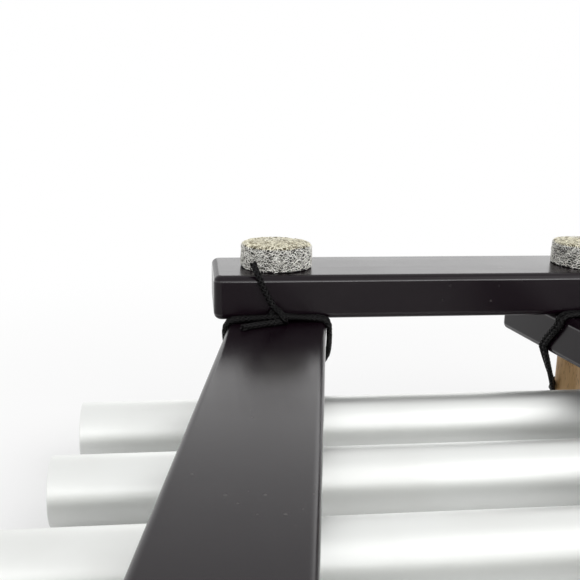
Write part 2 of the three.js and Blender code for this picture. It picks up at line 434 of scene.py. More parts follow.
@dataclass(frozen=True)
class BlackCord:
    """Braided black polyester yarn with a soft shine along its fibres."""

    colour: Colour = (0.0010, 0.0008, 0.0010)
    lit: Colour = (0.0030, 0.0024, 0.0028)
    roughness: float = 0.25
    fibre_scale: float = 3600.0
    patch_scale: float = 210.0
    fibre_depth: float = 0.05 * MM

    def material(self) -> Any:
        """Builds the material.

        Returns:
            The material.
        """
        board = ShaderBoard("black_braided_cord")
        fibre = board.noise(self.fibre_scale)
        patches = board.noise(self.patch_scale, 3.0)
        colour = board.blend((fibre * 0.6 + patches * 0.4).ramp(0.35, 0.7), self.colour, self.lit)
        normal = board.bump(fibre, 0.3, self.fibre_depth)
        rough = self.roughness + (patches - 0.5) * 0.2
        return board.finish(Base_Color=colour, Roughness=rough, Normal=normal, Specular_IOR_Level=0.18,
                            Sheen_Weight=0.01, Sheen_Roughness=0.35)


@dataclass(frozen=True)
class Beech:
    """Oiled beech dowel: upright grain with short dark ray flecks."""

    pale: Colour = (0.72, 0.475, 0.235)
    deep: Colour = (0.50, 0.29, 0.12)
    fleck: Colour = (0.26, 0.14, 0.065)
    roughness: float = 0.5
    band_scale: Triple = (330.0, 330.0, 22.0)
    line_scale: Triple = (1500.0, 1500.0, 60.0)
    ray_scale: Triple = (1300.0, 1300.0, 260.0)
    ray_size: float = 0.30
    grain_depth: float = 0.08 * MM

    def material(self) -> Any:
        """Builds the material.

        Returns:
            The material.
        """
        board = ShaderBoard("oiled_beech")
        bands = board.noise(self.band_scale, 4.0, 0.6)
        lines = board.noise(self.line_scale)
        flecks = (self.ray_size - board.cells(self.ray_scale)).ramp(0.0, 0.12) * 0.6
        colour = board.blend((bands * 0.7 + lines * 0.3).ramp(0.3, 0.7), self.deep, self.pale)
        colour = board.blend(flecks, colour, self.fleck)
        rough = self.roughness + (lines - 0.5) * 0.2
        normal = board.bump(lines * 0.7 - flecks * 0.5, 0.35, self.grain_depth)
        return board.finish(Base_Color=colour, Roughness=rough, Normal=normal)


@dataclass(frozen=True)
class ZincSteel:
    """Bright zinc plate on a wood screw."""

    colour: Colour = (0.60, 0.59, 0.55)
    cloudy: Colour = (0.50, 0.48, 0.42)
    roughness: float = 0.28
    cloud_scale: float = 600.0

    def material(self) -> Any:
        """Builds the material.

        Returns:
            The material.
        """
        board = ShaderBoard("zinc_plated_steel")
        clouds = board.noise(self.cloud_scale, 3.0)
        colour = board.blend(clouds, self.colour, self.cloudy)
        return board.finish(Base_Color=colour, Metallic=1.0, Roughness=self.roughness + clouds * 0.16)


class GeometryBoard(NodeBoard):
    """A node tree with named sizes, which grows plain meshes."""

    def __init__(self, name: str) -> None:
        """Makes the tree with its geometry input, its finish input and its output.

        Args:
            name: the tree's name.
        """
        super().__init__(bpy.data.node_groups.new(name, "GeometryNodeTree"))
        self.keys: dict[str, str] = {}
        for way in ("INPUT", "OUTPUT"):
            self.tree.interface.new_socket("Geometry", in_out=way, socket_type="NodeSocketGeometry")
        self.group_in = self.make("NodeGroupInput")
        self.seed = self.out(self.group_in, "Geometry")
        self.finish = self.size("Finish", "NodeSocketMaterial")

    def size(self, name: str, kind: str = "NodeSocketFloat") -> Signal:
        """Adds a named input.

        Args:
            name: the input's name.
            kind: its socket type.

        Returns:
            The input as a signal.
        """
        socket = self.tree.interface.new_socket(name, in_out="INPUT", socket_type=kind)
        self.keys[name] = socket.identifier
        return self.out(self.group_in, name)

    def step(self, kind: str, settings: dict | None = None, **sockets: Any) -> Signal:
        """Adds a node and returns its first output; underscores stand for spaces."""
        return self.out(self.make(kind, settings, spaced(sockets)))

    def ring(self, sides: int, radius: Any) -> Signal:
        """A round curve."""
        return self.step("GeometryNodeCurvePrimitiveCircle", Resolution=sides, Radius=radius)

    def rod(self, path: Signal, sides: int, radius: Any) -> Signal:
        """A closed round rod along a curve."""
        ring = self.ring(sides, radius)
        return self.step("GeometryNodeCurveToMesh", Curve=path, Profile_Curve=ring, Fill_Caps=True)

    def chance(self, low: float, high: float, seed: Signal) -> Signal:
        """A random number between two for each element."""
        sockets = {2: low, 3: high, "Seed": seed}
        return self.out(self.make("FunctionNodeRandomValue", {"data_type": "FLOAT"}, sockets), 1)

    def join(self, *parts: Signal) -> Signal:
        """Joins several geometries.

        Args:
            parts: the geometries.

        Returns:
            All of them as one.
        """
        node = self.make("GeometryNodeJoinGeometry")
        for part in parts:
            self.tree.links.new(part.socket, node.inputs[0])
        return self.out(node)

    def close(self, geometry: Signal) -> None:
        """Ends the tree: real geometry with its finish.

        Args:
            geometry: what the tree has made.
        """
        real = self.step("GeometryNodeRealizeInstances", Geometry=geometry)
        dressed = self.step("GeometryNodeSetMaterial", Geometry=real, Material=self.finish)
        self.make("NodeGroupOutput", None, {0: dressed})

    def grow(self, name: str, finish: Any, seed: Any = None, **sizes: Any) -> Any:
        """Runs the tree.

        Args:
            name: the new mesh's name.
            finish: its material.
            seed: a mesh that goes in, or None.
            sizes: the named inputs, with underscores for spaces.

        Returns:
            The plain mesh that comes out.
        """
        bench = bpy.data.objects.new(f"{name}_bench", seed or bpy.data.meshes.new(f"{name}_bench"))
        bpy.context.scene.collection.objects.link(bench)
        modifier = bench.modifiers.new("grow", "NODES")
        modifier.node_group = self.tree
        for key, value in spaced({"Finish": finish, **sizes}).items():
            modifier[self.keys[key]] = value
        graph = bpy.context.evaluated_depsgraph_get()
        mesh = bpy.data.meshes.new_from_object(bench.evaluated_get(graph), depsgraph=graph)
        mesh.name = name
        bpy.data.objects.remove(bench)
        return mesh


class MeshDraft:
    """Points, faces and face-corner normals of one piece in the making."""

    def __init__(self) -> None:
        """Starts empty."""
        self.points: list[Vector] = []
        self.faces: list[list[int]] = []
        self.normals: list[list[Vector]] = []
        self.pooled: list[int] = []

    def ring(self, points: Iterable[Vector]) -> list[int]:
        """Adds points.

        Args:
            points: their places.

        Returns:
            Their numbers.
        """
        first = len(self.points)
        self.points.extend(Vector(point) for point in points)
        return list(range(first, len(self.points)))

    def face(self, corners: list[int], normals: list[Vector]) -> None:
        """Adds a face, turned so that it looks the way of its normals.

        Args:
            corners: its points' numbers.
            normals: the normal at each corner.
        """
        a, b, c = (self.points[i] for i in corners[:3])
        if (b - a).cross(c - b).dot(sum(normals, Vector())) < 0:
            corners, normals = corners[::-1], normals[::-1]
        self.faces.append(corners)
        self.normals.append(normals)

    def band(self, low: list[int], high: list[int], low_normals: list[Vector],
             high_normals: list[Vector] | None = None) -> None:
        """Adds a closed band of faces between two rings of as many points.

        Args:
            low: the first ring.
            high: the second ring.
            low_normals: the normals at the first ring.
            high_normals: those at the second, or None where they are the same.
        """
        ends = high_normals or low_normals
        for i in range(len(low)):
            j = (i + 1) % len(low)
            self.face([low[i], low[j], high[j], high[i]], [low_normals[i], low_normals[j], ends[j], ends[i]])

    def cap(self, rings: Sequence[list[int]], normal: Vector) -> None:
        """Fills a flat outline.

        Args:
            rings: the outline, and after it the holes in it.
            normal: the way it looks.
        """
        numbers = [i for ring in rings for i in ring]
        flat = [[self.points[i] for i in ring] for ring in rings]
        for triangle in tessellate_polygon(flat):
            self.face([numbers[i] for i in triangle], [normal] * 3)

    def mesh(self, name: str) -> Any:
        """Makes the smooth mesh, with the draft's normals and marks where lacquer pools.

        Args:
            name: its name.

        Returns:
            The mesh.
        """
        mesh = bpy.data.meshes.new(name)
        mesh.from_pydata(self.points, [], self.faces)
        marks = mesh.attributes.new(POOLED, "FLOAT", "POINT")
        for number in self.pooled:
            marks.data[number].value = 1.0
        mesh.shade_smooth()
        mesh.normals_split_custom_set([normal for face in self.normals for normal in face])
        return mesh


class Workbench:
    """Puts finished meshes into the scene as pieces."""

    @staticmethod
    def piece(name: str, mesh: Any, finish: Any = None) -> Any:
        """Makes an object of a mesh at the origin.

        Args:
            name: the piece's name.
            mesh: its mesh, already in place.
            finish: its material, or None if the mesh has one.

        Returns:
            The object.
        """
        if finish is not None:
            mesh.materials.clear()
            mesh.materials.append(finish)
        piece = bpy.data.objects.new(name, mesh)
        bpy.context.scene.collection.objects.link(piece)
        LOG.info("%s: %d faces", name, len(mesh.polygons))
        return piece

    @classmethod
    def stand_in(cls, node: str, word: str, mesh: Any, slot: str, finish: Any = None) -> Any:
        """Makes a piece that stands for a node.

        Args:
            node: the node it replaces.
            word: what the piece's name adds to the node's.
            mesh: its mesh, already in place.
            slot: not used.
            finish: its material, or None if the mesh has one.

        Returns:
            The object.
        """
        piece = cls.piece(f"{node}_{word}", mesh, finish)
        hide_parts(node)
        return piece


def circle(middle: Vector, radius: float, count: int) -> list[Vector]:
    """Points of a level circle."""
    turns = (2 * math.pi * i / count for i in range(count))
    return [middle + radius * Vector((math.cos(turn), math.sin(turn), 0)) for turn in turns]


@dataclass(frozen=True)
class Layout:
    """The frame's main lines."""

    rail_floor: float
    rail_top: float
    beam_top: float
    half_span: float
    rail_end: float
    slope: float
    rail_mid: float
    rail_width: float = 40 * MM
    cord_size: float = 2.4 * MM

    @classmethod
    def read(cls) -> Layout:
        """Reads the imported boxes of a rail, a crossbeam and two posts.

        Returns:
            The layout.
        """
        rail_low, rail_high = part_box("rail_right")
        beam_low, beam_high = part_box("crossbeam_short")
        far, near = (cls.middle(at_corner("end_post", end, Side.RIGHT)) for end in End)
        slope = (far.x - near.x) / (far.y - near.y)
        return cls(rail_low.z, rail_high.z, beam_high.z, beam_low.y, rail_high.y, slope,
                   far.x - slope * far.y)

    @staticmethod
    def middle(node: str) -> Vector:
        """The middle of a node's box."""
        low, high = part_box(node)
        return (low + high) / 2

    @property
    def splay(self) -> float:
        """How far a rail turns from straight ahead, in radians."""
        return math.atan(-self.slope)

    def rail_x(self, y: float) -> float:
        """A rail's centre line at y, on the right-hand side."""
        return self.rail_mid + self.slope * y

    def rail_way(self, side: Side) -> Vector:
        """The level direction along a rail, towards the far end."""
        return Vector((side.value * self.slope, 1.0, 0.0)).normalized()


@dataclass
class BattenFrame:
    """The two splayed rails and the two crossbeams: planed bars with round edges, drilled for the screws."""

    layout: Layout
    edge_radius: float = 2.8 * MM
    corner_radius: float = 3.6 * MM
    screw_hole: float = 4.9 * MM
    edge_steps: int = 8
    corner_steps: int = 8
    hole_sides: int = 32
    beam_ior: float = 1.34

    def bar(self, plan: Sequence[Vector], floor: float, top: float, holes: Sequence[Vector]) -> MeshDraft:
        """Drafts a bar with rounded corners, rounded rims and screw holes.

        Args:
            plan: its four corners from above, anticlockwise.
            floor: its lower level.
            top: its upper level.
            holes: the screws' axes.

        Returns:
            The draft.
        """
        draft = MeshDraft()
        centres, ways = self._corners(plan)
        quarter = [RIGHT_ANGLE * i / self.edge_steps for i in range(self.edge_steps + 1)]
        rims = [(floor, turn, -1) for turn in quarter] + [(top, turn, 1) for turn in reversed(quarter)]
        rings = []
        for face, turn, sign in rims:
            level = face - sign * self.edge_radius * (1 - math.cos(turn))
            reach = self.corner_radius - self.edge_radius * (1 - math.sin(turn))
            ring = draft.ring(centre + reach * way + UP * level for centre, way in zip(centres, ways))
            lift = UP * (sign * math.cos(turn))
            rings.append((ring, [way * math.sin(turn) + lift for way in ways]))
            if turn == quarter[-2]:
                draft.pooled += ring
        for (low, low_normals), (high, high_normals) in zip(rings, rings[1:]):
            draft.band(low, high, low_normals, high_normals)
        shafts = []
        for axis in holes:
            foot = Vector((axis.x, axis.y, floor))
            rim = circle(foot, self.screw_hole / 2, self.hole_sides)
            shafts.append([draft.ring(rim), draft.ring(Vector((spot.x, spot.y, top)) for spot in rim)])
            draft.band(*shafts[-1], [(foot - spot).normalized() for spot in rim])
        draft.cap([rings[0][0], *(low for low, _ in shafts)], -UP)
        draft.cap([rings[-1][0], *(high for _, high in shafts)], UP)
        return draft

    def _corners(self, plan: Sequence[Vector]) -> tuple[list[Vector], list[Vector]]:
        """Walks round the rounded outline.

        Args:
            plan: the bar's four corners.

        Returns:
            The arc centre and the outward way of every point.
        """
        centres, ways = [], []
        for i, corner in enumerate(plan):
            back = (plan[i - 1] - corner).normalized()
            ahead = (plan[(i + 1) % len(plan)] - corner).normalized()
            half = back.angle(ahead) / 2
            centre = corner + (back + ahead).normalized() * self.corner_radius / math.sin(half)
            sweep = math.pi - 2 * half
            start_turn = math.atan2(back.x, -back.y)
            for step in range(self.corner_steps + 1):
                turn = start_turn + sweep * step / self.corner_steps
                centres.append(centre)
                ways.append(Vector((math.cos(turn), math.sin(turn), 0)))
        return centres, ways

    def rail(self, side: Side) -> MeshDraft:
        """Drafts one rail.

        Args:
            side: left or right.

        Returns:
            The draft.
        """
        lay = self.layout
        half = lay.rail_width / 2 / math.cos(lay.splay)
        plan = [Vector((side.value * lay.rail_x(end * lay.rail_end) + edge * half, end * lay.rail_end, 0))
                for edge, end in ((-1, -1), (1, -1), (1, 1), (-1, 1))]
        holes = [lay.middle(at_corner("end_post", end, side)) for end in End]
        return self.bar(plan, lay.rail_floor, lay.rail_top, holes)

    def beam(self, node: str, end: End) -> MeshDraft:
        """Drafts one crossbeam.

        Args:
            node: the crossbeam it stands for.
            end: the end of the frame.

        Returns:
            The draft.
        """
        low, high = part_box(node)
        plan = [Vector((x, y, 0)) for x, y in
                ((low.x, low.y), (high.x, low.y), (high.x, high.y), (low.x, high.y))]
        holes = [self.layout.middle(at_corner("end_post", end, side)) for side in Side]
        return self.bar(plan, low.z, high.z, holes)

    def dress(self) -> None:
        """Builds the four bars and gives them their lacquer."""
        lengthwise = BlackLacquer(Axis.Y).material()
        crosswise = BlackLacquer(Axis.X, ior=self.beam_ior).material()
        bars = [(f"rail_{side.word}", self.rail(side), lengthwise) for side in Side]
        for node, end in (("crossbeam_short", End.FAR), ("crossbeam_long", End.NEAR)):
            bars.append((node, self.beam(node, end), crosswise))
        for node, draft, lacquer in bars:
            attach(Workbench.stand_in(node, "batten", draft.mesh(node), "black_lacquer", lacquer), "frame")


@dataclass
class TubeSet:
    """The eight drawn tubes, each cross-drilled twice for the suspension cord."""

    layout: Layout
    wall: float = 2 * MM
    edge_round: float = 0.35 * MM
    hole_size: float = 6 * MM
    slack: float = 0.02 * MM
    rim_share: float = 1.1
    nearly_square: float = 0.95
    sides: int = 128
    edge_steps: int = 4
    hole_sides: int = 40
    count: int = 8

    def tree(self) -> GeometryBoard:
        """Builds the tube's node tree.

        Returns:
            A tree with the tube's sizes, its holes' places and the way the cord runs as inputs.
        """
        board = GeometryBoard("drawn_tube")
        length, across, wall, edge, hole, reach, slant = (board.size(name) for name in (
            "Length", "Diameter", "Wall", "Edge Round", "Hole Size", "Hole Reach", "Hole Slant"))
        place = board.size("Place", "NodeSocketVector")
        section = board.step("GeometryNodeCurvePrimitiveQuadrilateral", Width=wall, Height=length)
        section = board.step("GeometryNodeFilletCurve", {"mode": "POLY"}, Curve=section, Radius=edge,
                             Count=self.edge_steps)
        path = board.ring(self.sides, (across - wall) * 0.5)
        skin = board.step("GeometryNodeCurveToMesh", Curve=path, Profile_Curve=section)
        skin = board.step("GeometryNodeTransform", Geometry=skin, Rotation=(0.0, RIGHT_ANGLE, 0.0))
        drills = []
        for side in Side:
            drill = board.step("GeometryNodeMeshCylinder", Vertices=self.hole_sides, Radius=hole * 0.5,
                               Depth=across * 2.0)
            drill = board.step("GeometryNodeTransform", Geometry=drill, Rotation=(RIGHT_ANGLE, 0.0, 0.0))
            turn = board.step("ShaderNodeCombineXYZ", Z=slant * side.value)
            spot = board.step("ShaderNodeCombineXYZ", X=reach * side.value)
            drill = board.step("GeometryNodeTransform", Geometry=drill, Rotation=turn, Translation=spot)
            drills.append(drill)
        cut = board.step("GeometryNodeMeshBoolean", {"operation": "DIFFERENCE", "solver": "EXACT"},
                         Mesh_1=skin, Mesh_2=board.join(*drills))
        board.close(board.step("GeometryNodeTransform", Geometry=cut, Translation=place))
        return board

    def round_off(self, mesh: Any, low: Vector, high: Vector) -> None:
        """Makes a tube's skin and bore perfectly round to the light, and its holes crisp.

        Args:
            mesh: the tube's mesh.
            low: its box's lowest corner.
            high: its box's highest corner.
        """
        middle = (low + high) / 2
        outer = (high.z - low.z) / 2
        rim = (high.x - low.x) / 2 - self.edge_round * self.rim_share
        mesh.shade_smooth()
        normals = [Vector(corner.vector) for corner in mesh.corner_normals]
        for face in mesh.polygons:
            for loop in face.loop_indices:
                place = mesh.vertices[mesh.loops[loop].vertex_index].co - middle
                spoke = Vector((0, place.y, place.z))
                size = spoke.length
                spoke.normalize()
                facing = face.normal.dot(spoke)
                if abs(size - outer) < self.slack and facing > self.nearly_square:
                    normals[loop] = spoke
                elif abs(size - outer + self.wall) < self.slack and facing < -self.nearly_square:
                    normals[loop] = -spoke
                elif abs(place.x) <= rim:
                    normals[loop] = Vector(face.normal)
        mesh.normals_split_custom_set(normals)

    def dress(self) -> None:
        """Grows the tubes and gives them their satin skin."""
        lay = self.layout
        board = self.tree()
        satin = SatinAluminium().material()
        for number in range(1, self.count + 1):
            node = f"tube_{number}"
            low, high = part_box(node)
            middle = (low + high) / 2
            mesh = board.grow(node, satin, Length=high.x - low.x, Diameter=high.z - low.z, Wall=self.wall,
                              Edge_Round=self.edge_round, Hole_Size=self.hole_size,
                              Hole_Reach=lay.rail_x(middle.y), Hole_Slant=lay.splay, Place=middle)
            self.round_off(mesh, low, high)
            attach(Workbench.stand_in(node, "drawn", mesh, "satin_aluminium"), node)


@dataclass
class EndPosts:
    """The four turned beech posts at the frame's corners, which the suspension cord loops round."""

    chamfer: float = 1.0 * MM
    screw_hole: float = 4.7 * MM
    screw_depth: float = 9.8 * MM
    sides: int = 96

    def turned(self, low: Vector, high: Vector) -> MeshDraft:
        """Drafts the round post with its foot chamfer and its screw hole.

        Args:
            low: the post box's lowest corner.
            high: its highest corner.

        Returns:
            The draft.
        """
        draft = MeshDraft()
        middle = (low + high) / 2
        radius, bore = (high.y - low.y) / 2, self.screw_hole / 2
        profile = [(radius - self.chamfer, low.z), (radius, low.z + self.chamfer), (radius, high.z),
                   (bore, high.z), (bore, high.z - self.screw_depth)]
        toe, knee, rim, mouth, pit = (
            draft.ring(circle(Vector((middle.x, middle.y, level)), reach, self.sides))
            for reach, level in profile)
        ways = [way.normalized() for way in circle(Vector(), 1.0, self.sides)]
        draft.cap([toe], -UP)
        draft.band(toe, knee, [(way - UP).normalized() for way in ways])
        draft.band(knee, rim, ways)
        draft.cap([rim, mouth], UP)
        draft.band(mouth, pit, [-way for way in ways])
        draft.cap([pit], UP)
        return draft

    def dress(self) -> None:
        """Turns and oils the four posts."""
        beech = Beech().material()
        for end, side in CORNERS:
            node = at_corner("end_post", end, side)
            mesh = self.turned(*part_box(node)).mesh(node)
            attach(Workbench.stand_in(node, "turned", mesh, "pale_wood", beech), "frame")


@dataclass
class FeltFeet:
    """The four pressed felt discs, lumpy at the rim, with coarse strands matted over them."""

    edge_round: float = 1.7 * MM
    foot_round: float = 0.3
    crown: float = 0.2 * MM
    lump: float = 0.4 * MM
    flat_lump: float = 0.45
    side_lump: float = 0.55
    nudge: float = 0.1 * MM
    lump_layers: tuple[Span, ...] = ((150, 1.0), (420, 0.6), (1100, 0.35))
    lean: Span = (-0.01, -0.03)
    inset: float = 0.15 * MM
    rise: float = 0.3 * MM
    strand_length: float = 1.5 * MM
    strand_width: float = 0.34 * MM
    strand_gap: float = 0.56 * MM
    strands_per_mm2: float = 2.6
    strand_sides: int = 5
    strand_sizes: Span = (0.6, 1.3)
    strand_tones: Span = (0.2, 1.0)
    strand_curl: tuple[Triple, ...] = ((-0.5, -0.12, -0.06), (0.05, 0.42, 0.13), (0.5, -0.2, -0.06))
    curl_steps: int = 4
    side_spin: float = 0.85
    top_spin: float = 2.3
    bare_below: float = -0.6
    sides: int = 120
    corner_steps: int = 6
    side_steps: int = 8
    top_steps: int = 14
    first_seed: int = 11
    fill: float = 1.0

    def outline(self, radius: float, height: float) -> list[Triple]:
        """The disc's half section from its flat seat to its middle.

        Args:
            radius: the disc's radius.
            height: its thickness.

        Returns:
            Radius, height and steepness (1 on the side, 0 on the flat) of each ring.
        """
        bend = self.edge_round
        inner = radius - bend
        low, high = bend * self.foot_round, height - bend
        corner = [RIGHT_ANGLE * i / self.corner_steps for i in range(self.corner_steps + 1)]
        rings = [(inner + bend * math.sin(turn), low * (1 - math.cos(turn)), 1.0) for turn in corner]
        rings += [(radius, low + (high - low) * i / self.side_steps, 1.0) for i in range(1, self.side_steps)]
        rings += [(inner + bend * math.cos(turn), high + bend * math.sin(turn), math.cos(turn))
                  for turn in corner]
        for i in range(1, self.top_steps):
            left = 1 - i / self.top_steps
            rings.append((inner * left, height + self.crown * (1 - left ** 2) - self.crown, 0.0))
        return rings

    def disc(self, node: str) -> Any:
        """Makes one lumpy disc.

        Args:
            node: the foot it stands for.

        Returns:
            Its mesh.
        """
        low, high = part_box(node)
        middle = Vector(((low.x + high.x) / 2, (low.y + high.y) / 2, low.z))
        draft = MeshDraft()
        rings = []
        height = high.z - low.z + self.rise
        for radius, level, steep in self.outline((high.y - low.y) / 2 - self.inset, height):
            share = min(1.0, level / self.edge_round)
            loose = self.flat_lump + self.side_lump * steep
            points = []
            for way in circle(Vector(), 1.0, self.sides):
                tilt = (way.x * self.lean[0] + way.y * self.lean[1]) * radius * (level / height) ** 2
                point = middle + way * radius + UP * (level + tilt)
                push = sum(weight * noise.noise(point * scale) for scale, weight in self.lump_layers)
                out = way * steep + UP * (1 - steep)
                points.append(point + out * push * self.lump * share * loose)
            rings.append(draft.ring(points))
        for lower, upper in zip(rings, rings[1:]):
            draft.band(lower, upper, [draft.points[i] - middle + UP * self.nudge for i in lower])
        draft.cap([rings[0]], -UP)
        draft.cap([rings[-1]], UP)
        mesh = bpy.data.meshes.new(node)
        mesh.from_pydata(draft.points, [], draft.faces)
        mesh.shade_smooth()
        return mesh

    def tree(self) -> GeometryBoard:
        """Builds the tree that mats strands over a disc.

        Returns:
            A tree with the strand's length, width, gap, number and seed as inputs.
        """
        board = GeometryBoard("matted_wool")
        length, width, gap, density = (board.size(name) for name in (
            "Strand Length", "Strand Width", "Strand Gap", "Density"))
        seed = board.size("Seed", "NodeSocketInt")
        rise = board.axis(board.step("GeometryNodeInputNormal"), "Z")
        spread = board.make("GeometryNodeDistributePointsOnFaces", {"distribute_method": "POISSON"}, {
            "Mesh": board.seed, "Selection": rise.call("GREATER_THAN", self.bare_below), "Distance Min": gap,
            "Density Max": density, "Seed": seed})
        curl = board.step("GeometryNodeCurveQuadraticBezier", Resolution=self.curl_steps,
                          **dict(zip(("Start", "Middle", "End"), self.strand_curl)))
        planted = board.step("GeometryNodeInstanceOnPoints", Points=board.out(spread, "Points"),
                             Instance=board.rod(curl, self.strand_sides, width / length * 0.5),
                             Rotation=board.out(spread, "Rotation"),
                             Scale=board.chance(*self.strand_sizes, seed) * length)
        lying = board.axis(board.out(spread, "Normal"), "Z")
        spin = board.chance(-1.0, 1.0, seed + 7) * (self.side_spin + lying * self.top_spin)
        spin = board.step("ShaderNodeCombineXYZ", Z=spin)
        planted = board.step("GeometryNodeRotateInstances", Instances=planted, Rotation=spin)
        planted = board.step("GeometryNodeStoreNamedAttribute", {"data_type": "FLOAT", "domain": "INSTANCE"},
                             Geometry=planted, Name=STRAND_TONE,
                             Value=board.chance(*self.strand_tones, seed + 13))
        board.close(board.join(board.seed, planted))
        return board

    def dress(self) -> None:
        """Makes the discs, mats their strands and colours them."""
        board = self.tree()
        felt = WoolFelt(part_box("felt_foot_far_left")[1].z).material()
        for seed, (end, side) in enumerate(CORNERS, self.first_seed):
            node = at_corner("felt_foot", end, side)
            mesh = board.grow(node, felt, self.disc(node), Strand_Length=self.strand_length,
                              Strand_Width=self.strand_width, Strand_Gap=self.strand_gap,
                              Density=self.strands_per_mm2 / MM ** 2, Seed=seed)
            mesh.shade_smooth()
            piece = Workbench.stand_in(node, "pad", mesh, "grey_felt")
            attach(piece, "frame")


@dataclass
class Braid:
    """A round braid of yarns over a core, grown along any path; its shares are of the cord's size."""

    size: float
    pitch: float = 9 * MM
    step: float = 0.4 * MM
    yarns: int = 8
    yarn_sides: int = 5
    yarn_radius: float = 0.175
    yarn_reach: float = 0.33
    weave: float = 0.03
    core_sides: int = 8
    core_radius: float = 0.34
    hollow: float = 1.5
    tip: Span = (0.0, 1.0)
    tail: Span = (7.0, 11.0)
    tail_swell: float = 0.9

    def __post_init__(self) -> None:
        """Makes the finish and the tree."""
        self.finish = BlackCord().material()
        self.board = self.tree()

    def tree(self) -> GeometryBoard:
        """Builds yarns that wind both ways and pass over and under each other.

        Returns:
            A tree with the cord's size, pitch, step and flare at its ends as inputs.
        """
        board = GeometryBoard("round_braid")
        size, pitch, step, flare = (board.size(name) for name in ("Cord Size", "Pitch", "Step", "Flare"))
        path = board.step("GeometryNodeMeshToCurve", Mesh=board.seed)
        path = board.step("GeometryNodeResampleCurve", {"mode": "LENGTH"}, Curve=path, Length=step)
        copies = board.make("GeometryNodeDuplicateElements", {"domain": "SPLINE"},
                            {"Geometry": path, "Amount": self.yarns})
        number = board.out(copies, "Duplicate Index")
        hand = number.call("MODULO", 2.0) * 2.0 - 1.0
        lane = (number / 2.0).call("FLOOR")
        travelled = board.out(board.make("GeometryNodeSplineParameter"), "Length")
        full = board.step("GeometryNodeSplineLength")
        to_end = travelled.call("MINIMUM", full - travelled) / size
        along = travelled * (2 * math.pi) / pitch
        turn = hand * along + lane * (4 * math.pi / self.yarns)
        loose = 1.0 + self.tail_swell - to_end.ramp(*self.tip) - to_end.ramp(*self.tail) * self.tail_swell
        swell = 1.0 + flare * loose
        weave = hand * (along * (self.yarns / 2)).call("COSINE") * size * self.weave
        reach = (size * self.yarn_reach + weave) * swell
        normal, ahead = board.step("GeometryNodeInputNormal"), board.step("GeometryNodeInputTangent")
        across = board.vector("CROSS_PRODUCT", {0: ahead, 1: normal})
        shift = [board.vector("SCALE", {0: way, "Scale": turn.call(wave) * reach})
                 for way, wave in ((normal, "COSINE"), (across, "SINE"))]
        yarns = board.step("GeometryNodeSetPosition", Geometry=board.out(copies),
                           Offset=board.vector("ADD", dict(enumerate(shift))))
        hollow = size * flare * self.hollow
        core = board.make("GeometryNodeTrimCurve", {"mode": "LENGTH"},
                          {"Curve": path, 4: hollow, 5: full - hollow})
        board.close(board.join(board.rod(yarns, self.yarn_sides, size * self.yarn_radius),
                               board.rod(board.out(core), self.core_sides, size * self.core_radius)))
        return board

    def grow(self, name: str, paths: Sequence[Sequence[Vector]], flare: float = 0.0) -> Any:
        """Braids a cord along each path.

        Args:
            name: the mesh's name.
            paths: points of each run of cord.
            flare: how much its cut ends swell.

        Returns:
            The cord's mesh.
        """
        points: list[Vector] = []
        edges: list[tuple[int, int]] = []
        for path in paths:
            first = len(points)
            points.extend(path)
            edges.extend((i, i + 1) for i in range(first, len(points) - 1))
        seed = bpy.data.meshes.new(f"{name}_path")
        seed.from_pydata(points, edges, [])
        mesh = self.board.grow(name, self.finish, seed, Cord_Size=self.size, Pitch=self.pitch,
                               Step=self.step, Flare=flare)
        mesh.shade_smooth()
        return mesh


def eased(points: Sequence[Vector], step: float = 0.5 * MM) -> list[Vector]:
    """A smooth curve through chosen points.

    Args:
        points: the points, which the curve meets.
        step: distance between the points that come out.

    Returns:
        Points along the curve.
    """
    pts = [2 * points[0] - points[1], *points, 2 * points[-1] - points[-2]]
    result = []
    for four in zip(pts, pts[1:], pts[2:], pts[3:]):
        knots = [0.0]
        for start, end in zip(four, four[1:]):
            knots.append(knots[-1] + math.sqrt(max((end - start).length, 1e-9)))
        count = max(1, round((four[2] - four[1]).length / step))
        for i in range(count):
            result.append(between(four, knots, knots[1] + (knots[2] - knots[1]) * i / count))
    return [*result, points[-1]]


def between(four: Sequence[Vector], knots: Sequence[float], t: float) -> Vector:
    """A point of a smooth curve between the middle two of four points.

    Args:
        four: the points.
        knots: the curve's parameter at each of them.
        t: the parameter of the wanted point.

    Returns:
        The wanted point.
    """
    layer = list(four)
    for gap in (1, 2):
        layer = [layer[i] * (knots[i + gap] - t) / (knots[i + gap] - knots[i])
                 + layer[i + 1] * (t - knots[i]) / (knots[i + gap] - knots[i]) for i in range(4 - gap)]
    span = knots[2] - knots[1]
    return layer[0] * (knots[2] - t) / span + layer[1] * (t - knots[1]) / span


